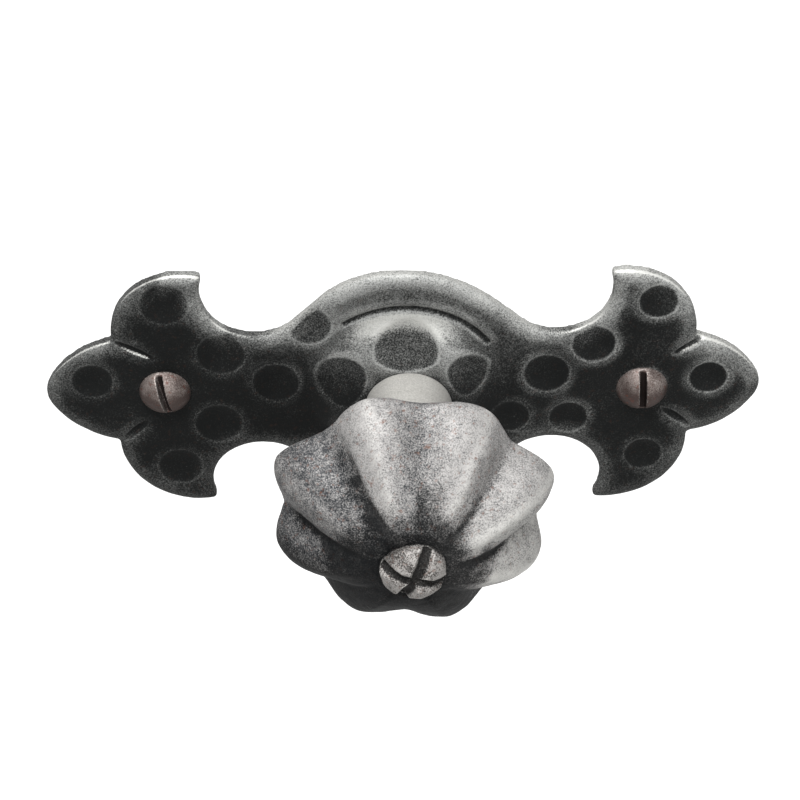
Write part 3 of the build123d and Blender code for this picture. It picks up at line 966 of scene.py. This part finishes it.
@dataclass
class WoodScrew:
    """Slotted round-head wood screw, with the thread that its plain CAD shank leaves out."""

    side: Side
    spacing: float = 0.14 * MM
    pitch_mm: float = 1.4
    thread_height_mm: float = 0.5
    thread_start_mm: float = 2.7
    head_height_mm: float = 2.4
    head_ball_mm: float = 3.752
    # Nickelled steel that aged: brownish grey, shinier than the forged pieces, with rust coming through
    finish: ForgedSteel = ForgedSteel(
        name="aged_nickelled_steel",
        scale_and_shade_colour="#1d1817",
        face_colour="#463c39",
        pale_colour="#7d7470",
        rubbed_and_highlight_colour="#c9c4c0",
        rust_colour="#5c3c35",
        mottle_mm=1.6,
        mottle_share=0.9,
        salt_share=0.8,
        rust_share=0.9,
        metallic=0.5,
        face_roughness=0.5,
        rubbed_roughness=0.4,
    )

    def age(self, screw: WorkedSurface, low: Vector, high: Vector) -> None:
        """Softens the screw, then masks its dark slot, its rim in painted shade, and painted highlights
        on the slot's right wall and on the head's upper right.

        Args:
            screw: The screw as it is meshed.
            low: Lowest corner of its box.
            high: Highest corner of its box.
        """
        sunk = below_dome_mm(screw.points, (low, high), self.head_ball_mm)
        on_head = screw.points[:, 1] < low.y + (self.head_height_mm - 0.2) * MM
        screw.smooth(2)
        edge = screw.convexity(0.35)
        normals = screw.normals()
        lit_wall = ramp(normals[:, 0], 0.1, 0.5)
        in_slot = ramp(sunk, 0.08, 0.35) * on_head
        # Painted shade round the side of the head, except where it looks up
        shaded_head_rim = ramp(1 - np.abs(normals[:, 1]), 0.35, 0.8) * (1 - ramp(normals[:, 2], -0.2, 0.5))
        # Painted highlight on the head's upper right
        shoulder_highlight = ramp(normals[:, 0] + normals[:, 2], 0.3, 1.1) * on_head * (1 - in_slot)
        # The slot is dark, except its wall that faces right, which gets a painted highlight
        screw.mask("hollow_and_shade", in_slot * (1 - 0.8 * lit_wall) + 0.65 * shaded_head_rim * (1 - in_slot))
        screw.mask("wear_and_highlight", 0.3 * ramp(edge, 0.02, 0.08) + 0.3 * in_slot * lit_wall + 0.2 * shoulder_highlight)
        # Faces that look up are painted paler, as painted light from above
        screw.mask("pale", 0.1 + 0.45 * ramp(normals[:, 2], -0.2, 0.6)
                   + 0.3 * screw.clouds(2.0, 2, 6.6))

    def cut_thread(self, screw: WorkedSurface, low: Vector, high: Vector) -> None:
        """Cuts the thread into the plain shank, half out of it and half into it.

        Args:
            screw: The screw.
            low: Lowest corner of its box.
            high: Highest corner of its box.
        """
        centre_x = (low.x + high.x) / 2
        centre_z = (low.z + high.z) / 2
        across = (screw.points[:, 0] - centre_x) / MM
        up = (screw.points[:, 2] - centre_z) / MM
        behind = screw.points[:, 1] / MM
        turn = np.arctan2(up, across) / (2 * math.pi)
        phase = (behind / self.pitch_mm - turn) % 1.0
        crest = 0.5 - ramp(1 - np.abs(2 * phase - 1), 0.15, 0.75)
        radius = np.hypot(across, up)
        begun = ramp(behind, self.thread_start_mm + 0.1, self.thread_start_mm + 0.9)
        # Towards the point the thread gets lower, with the shank
        height = np.minimum(self.thread_height_mm, radius * 0.5) * crest * begun
        grown = 1 + height / radius.clip(0.05)
        screw.points[:, 0] = centre_x + across * grown * MM
        screw.points[:, 2] = centre_z + up * grown * MM

    def build(self, material: bpy.types.Material) -> bpy.types.Object:
        """Ages the screw's head and cuts its thread.

        Args:
            material: Finish that both screws share.

        Returns:
            The finished piece.
        """
        node = f"screw_{self.side.value}"
        low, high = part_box(node)
        screw = WorkedSurface(node, f"wood_{node}", self.spacing)
        self.age(screw, low, high)
        self.cut_thread(screw, low, high)
        return screw.finish(material, "aged_screws")


@dataclass(frozen=True)
class Softbox:
    """Square soft lamp: its place and size in metres, and its power in watts."""

    name: str
    place: tuple[float, float, float]
    size: float
    power: float


@dataclass
class Studio:
    """Plain pale floor, soft lamps and a camera at the photograph's angle."""

    distance: float = 0.320
    elevation_deg: float = 39.0
    azimuth_deg: float = 1.2
    roll_deg: float = 0.25
    pixels_per_metre: float = 7490.0
    picture_px: float = 800.0
    origin_px: tuple[float, float] = (403.5, 381.5)
    sensor_mm: float = 36.0
    floor_z: float = -0.30
    floor_reach: float = 4.0
    # How bright the surroundings are as light, where 1 is the white that the camera sees
    world_strength: float = 0.12
    lamps: tuple[Softbox, ...] = (
        Softbox("overhead_softbox", (-0.12, -0.3, 0.75), 0.4, 9.5),
        Softbox("front_softbox", (0.35, -0.7, 0.35), 0.5, 2.8),
    )

    def place_camera(self) -> None:
        """Sets the camera as the photograph's was worked out: near, high, and nearly straight on."""
        data = bpy.data.cameras.new("photo_camera")
        camera = bpy.data.objects.new("photo_camera", data)
        bpy.context.scene.collection.objects.link(camera)
        azimuth = math.radians(self.azimuth_deg)
        elevation = math.radians(self.elevation_deg)
        towards_camera = Vector((
            -math.sin(azimuth) * math.cos(elevation),
            -math.cos(azimuth) * math.cos(elevation),
            math.sin(elevation),
        ))
        aim = (-towards_camera).to_track_quat("-Z", "Y").to_matrix().to_4x4()
        roll = Matrix.Rotation(math.radians(self.roll_deg), 4, "Z")
        camera.matrix_world = Matrix.Translation(towards_camera * self.distance) @ aim @ roll
        data.sensor_width = self.sensor_mm
        data.lens = self.sensor_mm * self.pixels_per_metre * self.distance / self.picture_px
        data.shift_x = (self.picture_px / 2 - self.origin_px[0]) / self.picture_px
        data.shift_y = (self.origin_px[1] - self.picture_px / 2) / self.picture_px
        data.clip_start = 0.01
        bpy.context.scene.camera = camera

    def hang_lamps(self) -> None:
        """Hangs the soft lamps, each aimed at the knob."""
        for softbox in self.lamps:
            data = bpy.data.lights.new(softbox.name, "AREA")
            data.shape = "SQUARE"
            data.size = softbox.size
            data.energy = softbox.power
            lamp = bpy.data.objects.new(softbox.name, data)
            bpy.context.scene.collection.objects.link(lamp)
            lamp.location = softbox.place
            lamp.rotation_euler = (-Vector(softbox.place)).to_track_quat("-Z", "Y").to_euler()

    def lay_floor(self) -> None:
        """Lays the floor well below the knob, which is fixed to an upright front."""
        plan = bmesh.new()
        corners = ((-1, -1), (1, -1), (1, 1), (-1, 1))
        plan.faces.new([
            plan.verts.new((x * self.floor_reach, y * self.floor_reach, self.floor_z))
            for x, y in corners])
        mesh = bpy.data.meshes.new("floor")
        plan.to_mesh(mesh)
        plan.free()
        mesh.materials.append(PlainBoard().build())
        floor = bpy.data.objects.new("floor", mesh)
        bpy.context.scene.collection.objects.link(floor)

    def light_world(self) -> None:
        """Makes the surroundings white to the camera and in reflections, and dim as light."""
        world = bpy.data.worlds.new("white_studio")
        world.use_nodes = True
        tree = world.node_tree
        tree.nodes.clear()
        strength = add_node(tree, "ShaderNodeMapRange", {}, {
            "Value": straight_rays(tree), "To Min": self.world_strength, "To Max": 1.0,
        }).outputs["Result"]
        glow = add_node(tree, "ShaderNodeBackground", {}, {
            "Color": (1.0, 1.0, 1.0, 1.0), "Strength": strength,
        }).outputs[0]
        add_node(tree, "ShaderNodeOutputWorld", {}, {"Surface": glow})
        bpy.context.scene.world = world

    def build(self) -> None:
        """Sets up the whole studio."""
        self.place_camera()
        self.hang_lamps()
        self.lay_floor()
        self.light_world()
        bpy.context.scene.view_settings.view_transform = "Standard"


def main() -> None:
    """Builds each piece in order, then the studio."""
    logging.basicConfig(level=logging.INFO, format="%(name)s %(message)s")
    Backplate().build()
    Neck().build()
    Knob().build()
    Rivet().build()
    screw_steel = WoodScrew(Side.LEFT).finish.build()
    for side in Side:
        WoodScrew(side).build(screw_steel)
    Studio().build()


if __name__ == "__main__":
    main()
